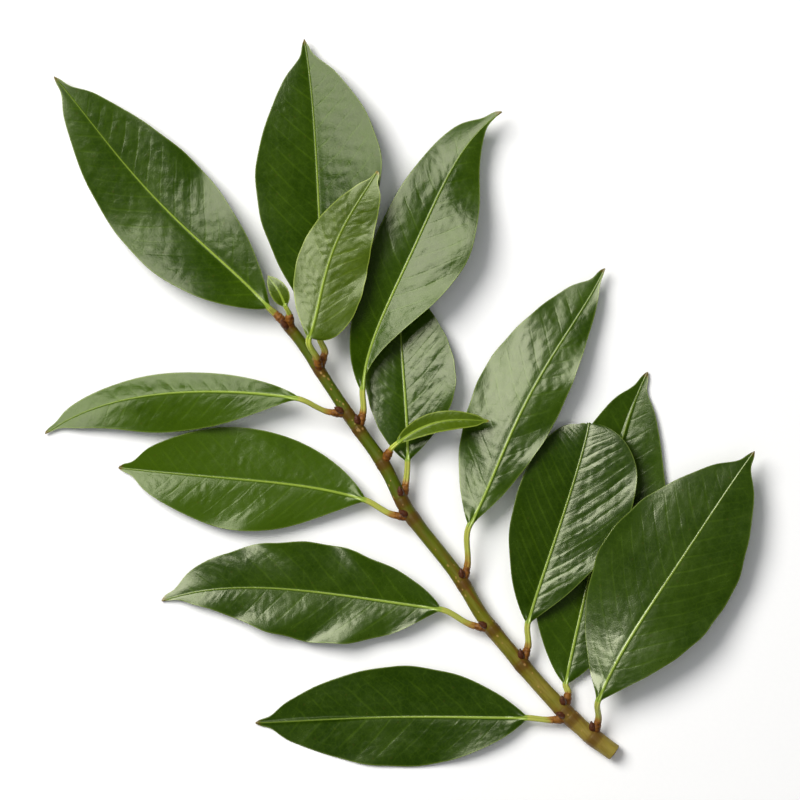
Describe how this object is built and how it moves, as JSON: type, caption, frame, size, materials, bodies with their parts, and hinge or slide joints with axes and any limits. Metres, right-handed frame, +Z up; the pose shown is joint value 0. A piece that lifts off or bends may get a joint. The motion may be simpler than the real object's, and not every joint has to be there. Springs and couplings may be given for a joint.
{
  "type": "bay branch",
  "caption": "Fresh cut bay laurel branch lying on its side: a thin zigzag woody stem with pointed, glossy green leaves folded along their midribs, some younger and brighter near the tip.",
  "frame": {"origin": "middle of the branch's footprint on the surface it lies on", "axes": "+X along the stem from its cut end to the growing tip, +Y to the left of the stem seen from above, +Z up"},
  "size_m": [0.234, 0.1516, 0.0152],
  "materials": {
    "bark": "satin olive-brown young bark",
    "grown_leaf": "glossy dark green, waxy",
    "young_leaf": "glossy yellow-green"
  },
  "bodies": {
    "root": {"stem": "bark", "leaf_01": "grown_leaf", "leaf_02": "grown_leaf", "leaf_03": "grown_leaf", "leaf_04": "grown_leaf", "leaf_05": "grown_leaf", "leaf_06": "grown_leaf", "leaf_07": "grown_leaf", "leaf_08": "grown_leaf", "leaf_09": "young_leaf", "leaf_10": "grown_leaf", "leaf_11": "grown_leaf", "leaf_12": "young_leaf", "leaf_13": "grown_leaf", "leaf_14": "grown_leaf", "leaf_15": "young_leaf"}
  },
  "joints": []
}
